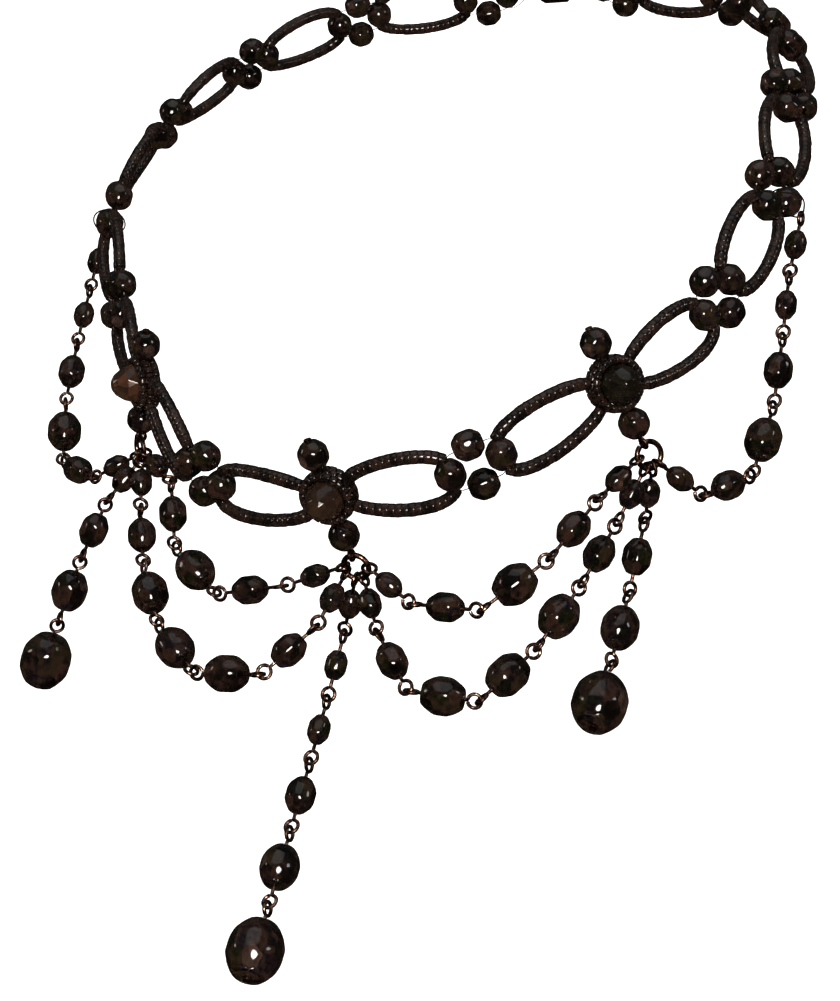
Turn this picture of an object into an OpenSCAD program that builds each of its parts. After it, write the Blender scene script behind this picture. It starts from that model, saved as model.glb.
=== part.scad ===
// Black glass choker with swags and drops, in the form it has when it is worn.
// A band of beaded crosses, beaded ovals and three stone medallions goes round the neck.
// Chains of beads on eye pins hang from jump rings under the medallions.
// Origin: the middle of the neck opening. +X is the viewer's right, -Y the front, +Z up.

/* [Faceted beads] */
// Width of the beads woven into the crosses
cross_bead_w = 5; // [4.2:0.1:5]
// Length of those beads along the hole
cross_bead_l = 4.8; // [4:0.1:4.8]
// Width of the smallest chain beads
small_w = 3.7; // [3:0.1:3.8]
// Length of the smallest chain beads
small_l = 4.6; // [4:0.1:4.8]
// Width of the middle chain beads
mid_w = 4.8; // [4:0.1:5]
// Length of the middle chain beads
mid_l = 5.7; // [5:0.1:5.9]
// Width of the large chain beads
large_w = 6.2; // [5:0.1:6.4]
// Length of the large chain beads
large_l = 6.7; // [6:0.1:6.9]
// Width of the ball that ends each drop
ball_w = 8.8; // [7:0.1:9]
// Length of that ball
ball_l = 9.2; // [8:0.1:9.4]
// Hole in every bead
hole_d = 1; // [0.95:0.05:1.05]

/* [Medallions] */
// Width of the stone at its girdle
stone_w = 6.6; // [6:0.1:6.6]
// Facets round the stone
stone_facets = 12; // [8:1:12]
// Outer width of the ring of seed beads round the stone
bezel_w = 9; // [8.8:0.1:9.2]
// Depth of that ring, front to back
bezel_h = 3.8; // [3:0.1:4]
// Length of the beads above and below a medallion
edge_bead_l = 4.6; // [4.2:0.1:4.6]

/* [Wire] */
// Thickness of the eye pin wire
wire_d = 0.46; // [0.44:0.01:0.46]
// Outer width of an eye loop
loop_w = 2.56; // [2.52:0.01:2.6]
// Outer width of the jump rings under the medallions
ring_w = 5; // [4.9:0.05:5.1]
// Thickness of the jump ring wire
ring_wire = 0.84; // [0.7:0.02:0.84]

/* [Band] */
// Distance from the middle of a cross to its two end beads
cross_x = 4.1; // [4.1:0.05:4.2]
// Distance from the middle of a cross to its upper and lower beads
cross_y = 3.3; // [3.3:0.05:3.4]
// Thickness of the strands of seed beads that make the ovals
strand_d = 1.9; // [1.4:0.1:1.9]
// Thickness of the thread
thread_d = 0.3; // [0.2:0.05:0.3]
// Length of the plain clasp barrel at the back
clasp_l = 8; // [6:0.5:8]
// Width of the clasp barrel
clasp_w = 4.4; // [3:0.1:5]

/* [Hidden] */
jet = [0.09, 0.08, 0.09];
jet_brown = [0.16, 0.13, 0.12];
copper = [0.42, 0.3, 0.25];

// Least space between two loose pieces
gap = 0.12;

// Stations of the band, from the clasp's left end round the front to its right end
// x, y, z: middle of the station; flare: lean of its lower edge away from the neck;
// spin: turn in the band's own face
STATIONS = [
    [-14, 58.5, 41.5, 30, 0],
    [-37, 49, 38, 36, 0],
    [-52.5, 31.5, 29.5, 42, 0],
    [-60, 11, 18, 42, 0],
    [-61.5, -8.5, 2.5, 29, 0],
    [-52.5, -25, -13, 12, 0],
    [-39.5, -41.5, -26, -3, 7],
    [-23, -53.5, -39.5, -14, -4],
    [0.5, -59, -42, -21, 7],
    [23, -55.5, -37.5, -13, 1],
    [41, -43, -26.5, 0, -2],
    [52.5, -25.5, -14.5, 13, 3],
    [57.5, -8, 2, 29, -1],
    [56, 11, 17.5, 45, -2],
    [50.5, 31.5, 29, 42, 0],
    [36, 49, 37.5, 36, 0],
    [13.5, 58.5, 41.5, 30, 0]
];
CLASP_AT = [-0.3, 60.3, 42];
LAST = len(STATIONS) - 1;
M_LEFT = 6;
M_CENTER = 8;
M_RIGHT = 10;
HANGER_LEFT = 4;
HANGER_RIGHT = 12;
CROSSES = [for (k = [0:LAST]) if (k != M_LEFT && k != M_CENTER && k != M_RIGHT) k];

// Bead sizes used in the chains: width, length
SMALL = [small_w, small_l];
MID = [mid_w, mid_l];
LARGE = [large_w, large_l];
BALL = [ball_w, ball_l];

// Swags: name, station it hangs from, degrees round that station's ring from straight below it,
// station it goes to, degrees round its ring, beads in order, pull of the curve at each end
SWAGS = [
    ["upper left", M_CENTER, -101, M_LEFT, 105, [SMALL, MID, LARGE, MID, SMALL],
        [-44.5, -4, -16.5], [18.5, -7, -2]],
    ["lower left", M_CENTER, -72, M_LEFT, 48, [SMALL, MID, LARGE, LARGE, LARGE, MID, SMALL],
        [-5, -13.5, -21], [12.5, -35, -41.5]],
    ["upper right", M_CENTER, 80, M_RIGHT, -102, [SMALL, MID, LARGE, MID, SMALL],
        [24.5, -13, -19], [-5.5, -11, -3.5]],
    ["lower right", M_CENTER, 15, M_RIGHT, -47, [SMALL, MID, LARGE, LARGE, LARGE, MID, SMALL],
        [18, -24.5, -40], [-10, -4.5, -20.5]],
    ["outer left", M_LEFT, -26, HANGER_LEFT, 0, [SMALL, MID, LARGE, MID, SMALL, SMALL],
        [-13.5, -1, -7], [-4.5, -24.5, -49.5]],
    ["outer right", M_RIGHT, 23, HANGER_RIGHT, 0, [SMALL, MID, LARGE, MID, SMALL, SMALL],
        [17.5, 17, -24], [-3.5, -6.5, -10]]
];

// Drops: name, station, degrees round its ring, beads in order, pull at the top, lowest point
DROPS = [
    ["left", M_LEFT, 11, [SMALL, MID, LARGE, BALL], [-4, -5, -2], [-61.5, -43, -77]],
    ["center", M_CENTER, -24, [SMALL, SMALL, SMALL, MID, LARGE, BALL], [-7.5, 11.5, -14], [-2, -89, -108.5]],
    ["right", M_RIGHT, -13, [SMALL, MID, LARGE, BALL], [-5, 12.5, -13.5], [40.5, -57, -76.5]]
];

// Vectors
function unit(v) = v / norm(v);
function square_to(v, u) = unit(v - (v * u) * u);

// Frame of a station: along the band, up across it, outwards, middle
function point(k) = k < 0 || k > LAST ? CLASP_AT : [for (i = [0:2]) STATIONS[k][i]];
function frame(k) =
    let (t = unit(point(k + 1) - point(k - 1)),
         flat = unit(cross(t, [0, 0, 1])),
         rise = cross(flat, t),
         flare = STATIONS[k][3],
         spin = STATIONS[k][4],
         out = cos(flare) * flat + sin(flare) * rise,
         up = cos(flare) * rise - sin(flare) * flat)
    [cos(spin) * t + sin(spin) * up, cos(spin) * up - sin(spin) * t, out, point(k)];
function place(f, v) = f[3] + v.x * f[0] + v.y * f[1] + v.z * f[2];

module in_frame(f)
    multmatrix([for (i = [0:2]) [f[0][i], f[1][i], f[2][i], f[3][i]]]) children();

// Medallion sizes that follow from the ones above
edge_y = bezel_w / 2 + gap + edge_bead_l / 2;
wire_r = wire_d / 2;
loop_r = loop_w / 2 - wire_r;
pin_eye_r = 0.8;
ring_r = (ring_w - ring_wire) / 2;
pin_eye_y = edge_y + edge_bead_l / 2 + gap + wire_r + pin_eye_r;
ring_y = pin_eye_y + pin_eye_r - wire_r - ring_wire / 2 - gap + ring_r;

// Loop of thread round the lower bead of a cross, through the middle of the cross, for an outer swag;
// its two sides meet in a small round tip under the bead
hanger_d = 0.3;
hanger_r = cross_bead_w / 2 + 0.35;
hanger_tip_r = 1;
hanger_tip_y = 5.88;
hanger_low = hanger_tip_y + hanger_tip_r;

// Flat head of a pin
head_d = 1.26;
head_h = 0.3;

// How far a loop's middle sits past the wire it hangs on, and the end of a bead past that middle
loop_slack = 0.2;
on_loop = loop_r - wire_r - loop_slack;
on_ring = loop_r - wire_r - ring_wire / 2 - loop_slack;
on_hanger = loop_r - wire_r - hanger_d / 2 - loop_slack - 0.1;
stem = 0.5;
reach = loop_r + wire_r + stem;

// Point of a ring's wire at an angle from straight below its middle, and the wire's direction there
function ring_point(k, a) = place(frame(k), [ring_r * sin(a), -ring_y - ring_r * cos(a), 0]);
function ring_along(k, a) = cos(a) * frame(k)[0] + sin(a) * frame(k)[1];

// A chain's curve
CURVE_STEPS = 48;
function bezier(c, t) =
    pow(1 - t, 3) * c[0] + 3 * t * pow(1 - t, 2) * c[1] + 3 * t * t * (1 - t) * c[2] + t * t * t * c[3];
function lengths(p) = [for (i = 0, s = 0; i < len(p);
    s = s + (i + 1 < len(p) ? norm(p[i + 1] - p[i]) : 0), i = i + 1) s];
function along(p, l, s) =
    let (i = max([for (j = [0:len(p) - 2]) if (l[j] <= s || j == 0) j]))
    p[i] + (p[i + 1] - p[i]) * (s - l[i]) / (l[i + 1] - l[i]);

// Distance from a joint to the middle of the loop on either side; last is the one at the far end
function start_off(i) = i == 0 ? on_ring : on_loop;
function end_off(i, n, last) = i < n - 1 ? on_loop : last;
function pin_length(beads, i, last) =
    start_off(i) + 2 * reach + beads[i][1] + end_off(i, len(beads), last);
function joint_arcs(beads, last) = [for (i = 0, s = 0; i <= len(beads);
    s = s + (i < len(beads) ? pin_length(beads, i, last) : 0), i = i + 1) s];

// Joints of a chain: its curve cut in the proportion of its pins
function joints(c, beads, last) =
    let (p = [for (i = [0:CURVE_STEPS]) bezier(c, i / CURVE_STEPS)], l = lengths(p),
         a = joint_arcs(beads, last), whole = l[CURVE_STEPS], nominal = a[len(beads)])
    [for (s = a) along(p, l, min(s * whole / nominal, whole))];

function on_medallion(k) = k == M_LEFT || k == M_CENTER || k == M_RIGHT;
function swag_end_off(s) = on_medallion(s[3]) ? on_ring : on_hanger;
function swag_joints(s) =
    let (a = ring_point(s[1], s[2]),
         b = on_medallion(s[3]) ? ring_point(s[3], s[4]) : place(frame(s[3]), [0, -hanger_low, 0]))
    joints([a, a + s[6], b + s[7], b], s[5], swag_end_off(s));
// The last pin of a drop has no second loop, so its far end is taken back by one reach
function drop_joints(d) =
    let (a = ring_point(d[1], d[2]), pull = a + d[4], b = d[5])
    joints([a, pull, b + 0.4 * (pull - b), b], d[3], -reach);

// Directions of one pin: along it, and outwards from the neck
function pin_dir(h, i) = unit(h[i + 1] - h[i]);
function pin_out(h, i) = square_to([h[i].x + h[i + 1].x, h[i].y + h[i + 1].y, 0], pin_dir(h, i));

// Middle of a bead on its pin
function bead_mid(h, i, last) =
    let (u = pin_dir(h, i), n = len(h) - 1, l = norm(h[i + 1] - h[i]))
    h[i] + u * (start_off(i) + (l - start_off(i) - end_off(i, n, last)) / 2);
function axis_frame(u, x, at) = [x, cross(u, x), u, at];

module ring_shape(r, wire) rotate_extrude($fn = 32) translate([r, 0]) circle(wire, $fn = 16);

// Pressed and fire-polished bead: bands of facets, widest in the middle, hole along Z
module bead(size, bore = hole_d)
    let (r = size[0] / 2, h = size[1] / 2)
    rotate_extrude($fn = 24)
        polygon([[bore / 2, -h], [0.48 * r, -h], [0.86 * r, -0.6 * h], [r, -0.16 * h],
                 [r, 0.16 * h], [0.86 * r, 0.6 * h], [0.48 * r, h], [bore / 2, h]]);

// Eye loop with its middle at a point, in the plane of u and across from axis
module eye(at, u, axis) in_frame([u, cross(axis, u), axis, at]) ring_shape(loop_r, wire_r);

module shaft(a, b)
    let (u = unit(b - a))
    in_frame(axis_frame(u, square_to(abs(u.z) < 0.9 ? [0, 0, 1] : [1, 0, 0], u), a))
        cylinder(h = norm(b - a), r = wire_r - 0.02, $fn = 16);

// One eye pin: a loop at each end, each across its own axis
module eye_pin(a, b, first_axis, last_axis) {
    u = unit(b - a);
    union() {
        eye(a, u, square_to(first_axis, u));
        eye(b, u, square_to(last_axis, u));
        shaft(a + u * loop_r, b - u * loop_r);
    }
}

// The last pin of a drop ends in a flat head under its ball
module head_pin(h, i, ball) {
    u = pin_dir(h, i);
    a = h[i] + u * on_loop;
    head = bead_mid(h, i, -reach) + u * (ball[1] / 2 + gap);
    union() {
        eye(a, u, cross(u, pin_out(h, i)));
        shaft(a + u * loop_r, head + u * wire_r);
        in_frame(axis_frame(u, square_to([1, 0, 0], u), head)) cylinder(h = head_h, d = head_d, $fn = 16);
    }
}

module chain_beads(h, beads, last)
    color(jet)
    for (i = [0:len(beads) - 1])
        in_frame(axis_frame(pin_dir(h, i), pin_out(h, i), bead_mid(h, i, last))) bead(beads[i]);

// Along a chain the first loop of each pin stands on edge and the second lies flat
module chain_pin(h, i, last, first_axis, last_axis) {
    u = pin_dir(h, i);
    eye_pin(h[i] + u * start_off(i), h[i + 1] - u * end_off(i, len(h) - 1, last),
        i == 0 ? first_axis : cross(u, pin_out(h, i)), i == len(h) - 2 ? last_axis : pin_out(h, i));
}

module swag_pins(s) {
    h = swag_joints(s);
    n = len(s[5]);
    last_axis = on_medallion(s[3]) ? ring_along(s[3], s[4]) : pin_out(h, n - 1);
    color(copper)
    for (i = [0:n - 1]) chain_pin(h, i, swag_end_off(s), ring_along(s[1], s[2]), last_axis);
}

module drop_pins(d) {
    h = drop_joints(d);
    n = len(d[3]);
    color(copper) {
        for (i = [0:n - 2]) chain_pin(h, i, -reach, ring_along(d[1], d[2]), [0, 0, 1]);
        head_pin(h, n - 1, d[3][n - 1]);
    }
}

// Four beads woven into a diamond
module cross_beads(k)
    color(jet) in_frame(frame(k))
    for (s = [-1, 1]) {
        translate([s * cross_x, 0, 0]) rotate([-90, 0, 0]) bead([cross_bead_w, cross_bead_l]);
        translate([0, s * cross_y, 0]) rotate([0, 90, 0]) bead([cross_bead_w, cross_bead_l]);
    }

// Faceted stone: rows of height and radius, each turned half a facet from the one before
STONE_ROWS = [[-0.4, 0.94, 0], [0.44, 1, 0], [0.54, 1, 0], [1, 0.86, 1], [1.42, 0.58, 0], [1.6, 0.32, 1]];
module stone(k)
    color(jet_brown) in_frame(frame(k))
    hull() for (row = STONE_ROWS)
        translate([0, 0, row[0] * stone_w / 2]) rotate([0, 0, row[2] * 180 / stone_facets])
            linear_extrude(0.02) circle(row[1] * stone_w / 2 - gap, $fn = stone_facets);

module bezel(k)
    color(jet) in_frame(frame(k))
    rotate_extrude($fn = 48) let (a = stone_w / 2, b = bezel_w / 2, h = bezel_h / 2)
        polygon([[a, -0.8 * h], [a + 0.3, -h], [b - 0.4, -h], [b, -0.6 * h],
                 [b, 0.6 * h], [b - 0.4, h], [a + 0.3, h], [a, 0.8 * h]]);

module edge_bead(k, s)
    color(jet) in_frame(frame(k))
    translate([0, s * edge_y, 0]) rotate([-90, 0, 0]) bead([cross_bead_w, edge_bead_l]);

// Pins through the two outer beads of a medallion: the upper has a head, the lower an eye
module edge_pins(k)
    color(copper) in_frame(frame(k)) {
        root = bezel_w / 2 + gap;
        tip = edge_y + edge_bead_l / 2 + gap;
        union() {
            shaft([0, root, 0], [0, tip + wire_r, 0]);
            translate([0, tip, 0]) rotate([-90, 0, 0]) cylinder(h = head_h, d = head_d, $fn = 16);
        }
        union() {
            shaft([0, -root, 0], [0, pin_eye_r - pin_eye_y, 0]);
            translate([0, -pin_eye_y, 0]) rotate([0, 90, 0]) ring_shape(pin_eye_r, wire_r);
        }
    }

module jump_ring(k)
    color(copper) in_frame(frame(k)) translate([0, -ring_y, 0]) ring_shape(ring_r, ring_wire / 2);

// Round tube along points; each ring is set square to the path with one side towards out
SIDES = 8;
module tube(path, out, d, closed = false) {
    n = len(path);
    function dir(i) = closed ? unit(path[(i + 1) % n] - path[(i + n - 1) % n])
        : unit(path[min(i + 1, n - 1)] - path[max(i - 1, 0)]);
    rings = [for (i = [0:n - 1]) let (t = dir(i), a = square_to(out, t), b = cross(t, a))
        for (j = [0:SIDES - 1]) path[i] + d / 2 * (cos(j * 360 / SIDES) * a + sin(j * 360 / SIDES) * b)];
    walls = [for (i = [0:closed ? n - 1 : n - 2], j = [0:SIDES - 1])
        [i * SIDES + j, ((i + 1) % n) * SIDES + j,
         ((i + 1) % n) * SIDES + (j + 1) % SIDES, i * SIDES + (j + 1) % SIDES]];
    ends = closed ? [] : [[for (j = [0:SIDES - 1]) j], [for (j = [SIDES - 1:-1:0]) (n - 1) * SIDES + j]];
    polyhedron(rings, concat(walls, ends));
}

// Arc in a plane square to the band, its angles taken from straight down
function arc(y, r, from, to, steps) =
    [for (i = [0:steps]) let (a = from + (to - from) * i / steps) [0, y - r * cos(a), r * sin(a)]];

module hanger(k) {
    lean = acos((hanger_r - hanger_tip_r) / (hanger_tip_y - cross_y));
    path = concat(arc(-hanger_tip_y, hanger_tip_r, -lean, lean, 4), arc(-cross_y, hanger_r, lean, 360 - lean, 20));
    color(jet) tube([for (v = path) place(frame(k), v)], frame(k)[0], hanger_d, closed = true);
}

// One side of an oval, between station k and the next; v is 1 for the upper, -1 for the lower
STRAND_STEPS = 8;
function strand_end(k, s, v) = on_medallion(k)
    ? (bezel_w / 2 + 0.35) * [s * cos(30), v * sin(30), 0]
    : [s * (cross_x + 0.4), v * (cross_bead_l / 2 + 1.04), 0];
function strand_pull(k, s, v) = strand_end(k, s, v)
    + (on_medallion(k) ? 3.7 * [s * cos(30), v * sin(30), 0] : [s * 2.6, v * 1.75, 0]);
function strand_path(k, v) =
    let (a = frame(k), b = frame(k + 1),
         c = [place(a, strand_end(k, 1, v)), place(a, strand_pull(k, 1, v)),
              place(b, strand_pull(k + 1, -1, v)), place(b, strand_end(k + 1, -1, v))])
    [for (i = [0:STRAND_STEPS]) bezier(c, i / STRAND_STEPS)];

module strands(first, last)
    color(jet)
    for (k = [first:last], v = [-1, 1]) tube(strand_path(k, v), frame(k)[2], strand_d);

// Thread of a cross: once round through its four beads, a little inside their middles
thread_in = 0.24;
function thread_quarter(x, y, l) = [[x, 0], [x, l], [x - 0.1, l + 0.3], [l + 0.75, y - 0.06], [l, y], [0, y]];
function thread_loop(x, y, l) =
    let (q = thread_quarter(x, y, l))
    concat([for (i = [0:4]) [q[i].x, q[i].y, 0]], [for (i = [5:-1:1]) [-q[i].x, q[i].y, 0]],
           [for (i = [0:4]) [-q[i].x, -q[i].y, 0]], [for (i = [5:-1:1]) [q[i].x, -q[i].y, 0]]);

module cross_thread(k) {
    f = frame(k);
    tube([for (v = thread_loop(cross_x - thread_in, cross_y - thread_in, cross_bead_l / 2)) place(f, v)],
         f[2], thread_d, closed = true);
}

// Thread from the last bead of the band through the clasp's eye and back
clasp_eye_r = 1;
clasp_wire = 0.6;
clasp_eye_x = clasp_l / 2 + clasp_eye_r - 0.15;
function clasp_tie(k) =
    let (s = k == 0 ? -1 : 1, f = frame(k), a = place(f, [s * (cross_x + thread_in), 0, 0]),
         e = CLASP_AT + [s * (clasp_eye_x + clasp_eye_r - clasp_wire / 2 - thread_d / 2 - 2 * gap), 0, 0],
         u = unit(e - a), w = f[1], l = norm(e - a), h = cross_bead_l / 2)
    [for (q = [[0, 0], [0, h], [0.12, h + 0.4], [0.6, h + 0.5], [0.35 * l, h + 0.1], [0.7 * l, h / 2],
               [0.93 * l, h / 5], [l, 0],
               [0.93 * l, -h / 5], [0.7 * l, -h / 2], [0.35 * l, -h - 0.1], [0.6, -h - 0.5], [0.12, -h - 0.4],
               [0, -h]]) a + q[0] * u + q[1] * w];

module threads(list)
    color(jet)
    for (k = list) {
        cross_thread(k);
        if (k == 0 || k == LAST) tube(clasp_tie(k), frame(k)[2], thread_d, closed = true);
    }

// Plain barrel clasp with an eye at each end
clasp_up = frame(0)[1];
module clasp()
    color(copper)
    in_frame([[1, 0, 0], square_to(clasp_up, [1, 0, 0]), cross([1, 0, 0], square_to(clasp_up, [1, 0, 0])), CLASP_AT])
    union() {
        rotate([0, 90, 0]) rotate_extrude($fn = 32) let (r = clasp_w / 2, h = clasp_l / 2)
            polygon([[0, -h], [0.45 * r, -h], [r, -0.55 * h], [r, 0.55 * h], [0.45 * r, h], [0, h]]);
        for (s = [-1, 1]) translate([s * clasp_eye_x, 0, 0]) rotate([90, 0, 0])
            ring_shape(clasp_eye_r, clasp_wire / 2);
    }

module swag_beads(s) chain_beads(swag_joints(s), s[5], swag_end_off(s));
module drop_beads(d) chain_beads(drop_joints(d), d[3], -reach);

stone(M_LEFT);  // stone_left
stone(M_CENTER);  // stone_center
stone(M_RIGHT);  // stone_right
bezel(M_LEFT);  // bezel_left
bezel(M_CENTER);  // bezel_center
bezel(M_RIGHT);  // bezel_right
edge_bead(M_LEFT, 1);  // top_bead_left
edge_bead(M_CENTER, 1);  // top_bead_center
edge_bead(M_RIGHT, 1);  // top_bead_right
edge_bead(M_LEFT, -1);  // bottom_bead_left
edge_bead(M_CENTER, -1);  // bottom_bead_center
edge_bead(M_RIGHT, -1);  // bottom_bead_right
edge_pins(M_LEFT);  // pins_left
edge_pins(M_CENTER);  // pins_center
edge_pins(M_RIGHT);  // pins_right
jump_ring(M_LEFT);  // jump_ring_left
jump_ring(M_CENTER);  // jump_ring_center
jump_ring(M_RIGHT);  // jump_ring_right
cross_beads(CROSSES[0]);  // cross_01
cross_beads(CROSSES[1]);  // cross_02
cross_beads(CROSSES[2]);  // cross_03
cross_beads(CROSSES[3]);  // cross_04
cross_beads(CROSSES[4]);  // cross_05
cross_beads(CROSSES[5]);  // cross_06
cross_beads(CROSSES[6]);  // cross_07
cross_beads(CROSSES[7]);  // cross_08
cross_beads(CROSSES[8]);  // cross_09
cross_beads(CROSSES[9]);  // cross_10
cross_beads(CROSSES[10]);  // cross_11
cross_beads(CROSSES[11]);  // cross_12
cross_beads(CROSSES[12]);  // cross_13
cross_beads(CROSSES[13]);  // cross_14
strands(0, M_LEFT - 1);  // strands_left
strands(M_LEFT, M_RIGHT - 1);  // strands_front
strands(M_RIGHT, LAST - 1);  // strands_right
threads([0:M_LEFT - 1]);  // threads_left
threads([M_LEFT + 1, M_CENTER + 1]);  // threads_front
threads([M_RIGHT + 1:LAST]);  // threads_right
swag_beads(SWAGS[0]);  // swag_upper_left_beads
swag_pins(SWAGS[0]);  // swag_upper_left_pins
swag_beads(SWAGS[1]);  // swag_lower_left_beads
swag_pins(SWAGS[1]);  // swag_lower_left_pins
swag_beads(SWAGS[2]);  // swag_upper_right_beads
swag_pins(SWAGS[2]);  // swag_upper_right_pins
swag_beads(SWAGS[3]);  // swag_lower_right_beads
swag_pins(SWAGS[3]);  // swag_lower_right_pins
swag_beads(SWAGS[4]);  // swag_outer_left_beads
swag_pins(SWAGS[4]);  // swag_outer_left_pins
swag_beads(SWAGS[5]);  // swag_outer_right_beads
swag_pins(SWAGS[5]);  // swag_outer_right_pins
drop_beads(DROPS[0]);  // drop_left_beads
drop_pins(DROPS[0]);  // drop_left_pins
drop_beads(DROPS[1]);  // drop_center_beads
drop_pins(DROPS[1]);  // drop_center_pins
drop_beads(DROPS[2]);  // drop_right_beads
drop_pins(DROPS[2]);  // drop_right_pins
hanger(HANGER_LEFT);  // hanger_left
hanger(HANGER_RIGHT);  // hanger_right
clasp();
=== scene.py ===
"""Black glass choker with swags and drops, as it hangs when it is worn.

Lengths are in millimetres until a piece is finished, when its mesh goes to metres in the frame of the CAD
model. The CAD model's solids have the same middle lines as the pieces made here, and all but the seed beads,
threads, pins and rings have the same widths and holes too.
"""

import math
import random

import bmesh
import bpy
from mathutils import Matrix, Vector


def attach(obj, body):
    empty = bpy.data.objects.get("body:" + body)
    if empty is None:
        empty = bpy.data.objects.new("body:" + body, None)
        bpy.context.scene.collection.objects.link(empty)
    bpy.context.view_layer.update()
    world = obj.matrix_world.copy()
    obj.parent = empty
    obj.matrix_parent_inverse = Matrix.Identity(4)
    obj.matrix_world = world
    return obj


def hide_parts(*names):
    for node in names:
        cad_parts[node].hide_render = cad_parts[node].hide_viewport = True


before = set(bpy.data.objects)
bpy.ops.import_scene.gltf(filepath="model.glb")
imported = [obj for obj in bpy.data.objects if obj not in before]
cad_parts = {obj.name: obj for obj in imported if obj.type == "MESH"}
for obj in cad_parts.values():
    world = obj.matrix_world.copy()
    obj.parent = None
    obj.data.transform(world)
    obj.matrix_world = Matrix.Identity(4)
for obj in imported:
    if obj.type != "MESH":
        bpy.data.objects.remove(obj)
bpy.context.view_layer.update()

MM = 0.001

# Beads of the crosses. Each cross is four pressed glass beads, cut by fire polishing: their facets are flat
# and their edges are melted soft. A thread through the holes pulls them into a diamond.
CROSS_BEAD = (5.0, 4.8)  # width, length along the hole
HOLE_D = 1.0
HOLE_RIM = 0.1  # stays keen, so that the hole keeps its width
CROSS_X = 4.1  # from the middle of a cross to its end beads
CROSS_Y = 3.3  # and to its upper and lower bead
FACETS_ROUND = 8
BLANK = 2.5  # the block that a bead of width 2 is cut from
EDGE_MELT = 0.17  # share of the half width
MELTS_FROM = 8  # degrees between two facets

# Middle of each station of the band, from the clasp's left end round the front to its right end:
# x, y, z, lean of the lower edge away from the neck, turn in the band's own face
STATIONS = [
    (-14, 58.5, 41.5, 30, 0),
    (-37, 49, 38, 36, 0),
    (-52.5, 31.5, 29.5, 42, 0),
    (-60, 11, 18, 42, 0),
    (-61.5, -8.5, 2.5, 29, 0),
    (-52.5, -25, -13, 12, 0),
    (-39.5, -41.5, -26, -3, 7),
    (-23, -53.5, -39.5, -14, -4),
    (0.5, -59, -42, -21, 7),
    (23, -55.5, -37.5, -13, 1),
    (41, -43, -26.5, 0, -2),
    (52.5, -25.5, -14.5, 13, 3),
    (57.5, -8, 2, 29, -1),
    (56, 11, 17.5, 45, -2),
    (50.5, 31.5, 29, 42, 0),
    (36, 49, 37.5, 36, 0),
    (13.5, 58.5, 41.5, 30, 0),
]
CLASP_AT = Vector((-0.3, 60.3, 42))
MEDALLIONS = {"left": 6, "center": 8, "right": 10}
CROSSES = [k for k in range(len(STATIONS)) if k not in MEDALLIONS.values()]
X, Y, Z = Vector((1, 0, 0)), Vector((0, 1, 0)), Vector((0, 0, 1))


def middle(k):
    return Vector(STATIONS[k][:3]) if 0 <= k < len(STATIONS) else CLASP_AT


def axes(x, y, z, at):
    return Matrix.Translation(at) @ Matrix((x, y, z)).transposed().to_4x4()


def station(k):
    """Place of a station: X along the band, Y up across it, Z outwards from the neck."""
    flare, spin = (math.radians(a) for a in STATIONS[k][3:])
    along = (middle(k + 1) - middle(k - 1)).normalized()
    flat = along.cross(Z).normalized()
    rise = flat.cross(along)
    out = math.cos(flare) * flat + math.sin(flare) * rise
    up = math.cos(flare) * rise - math.sin(flare) * flat
    return axes(math.cos(spin) * along + math.sin(spin) * up, math.cos(spin) * up - math.sin(spin) * along,
                out, middle(k))


def slice_off(bm, at, outwards):
    """Grinds one flat facet: what lies beyond the plane goes, and the cut is closed."""
    everything = bm.verts[:] + bm.edges[:] + bm.faces[:]
    cut = bmesh.ops.bisect_plane(bm, geom=everything, plane_co=at, plane_no=outwards, clear_outer=True)
    rim = [e for e in cut["geom_cut"] if isinstance(e, bmesh.types.BMEdge)]
    bmesh.ops.holes_fill(bm, edges=rim, sides=0)


chance = random.Random(7)


def cut_bead(width, length, bands):
    """One bead at the origin with its hole along Z. A band is its lean in degrees, its distance and its turn.

    Each facet gets its own tint, which sets its share of the painted sheen, and shading runs on over the
    melted edges."""
    bm = bmesh.new()
    bmesh.ops.create_cube(bm, size=BLANK)
    for lean, distance, turn in bands:
        for end in (1,) if lean == 0 else (1, -1):
            for i in range(FACETS_ROUND):
                a = 2 * math.pi * (i + turn) / FACETS_ROUND
                r, z = math.cos(math.radians(lean)), math.sin(math.radians(lean))
                n = Vector((r * math.cos(a), r * math.sin(a), end * z))
                slice_off(bm, n * distance, n)
    for end in (Z, -Z):
        slice_off(bm, end, end)
    bmesh.ops.scale(bm, vec=(width / 2, width / 2, length / 2), verts=bm.verts)
    bmesh.ops.recalc_face_normals(bm, faces=bm.faces)
    ends = [f for f in bm.faces if abs(f.normal.z) > 0.99]
    inner = math.sqrt(ends[0].calc_area() / math.pi)
    bmesh.ops.inset_individual(bm, faces=ends, thickness=inner - HOLE_D / 2, use_even_offset=True)
    bmesh.ops.delete(bm, geom=ends, context="FACES_ONLY")
    bmesh.ops.bridge_loops(bm, edges=[e for e in bm.edges if e.is_boundary])
    bmesh.ops.recalc_face_normals(bm, faces=bm.faces)
    tint = bm.faces.layers.float.new("facet_tint")
    for f in bm.faces:
        f[tint] = chance.random()
    rims = [e for e in bm.edges if all(v.co.xy.length < HOLE_D / 2 + HOLE_RIM for v in e.verts)]
    sharp = [e for e in bm.edges if e not in rims and e.calc_face_angle(0) > math.radians(MELTS_FROM)]
    bmesh.ops.bevel(bm, geom=sharp, offset=EDGE_MELT * width / 2, segments=2, profile=0.5, affect="EDGES",
                    material=-1)
    for f in bm.faces:
        f.smooth = True
    mesh = bpy.data.meshes.new("bead_form")
    bm.to_mesh(mesh)
    bm.free()
    return mesh


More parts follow.
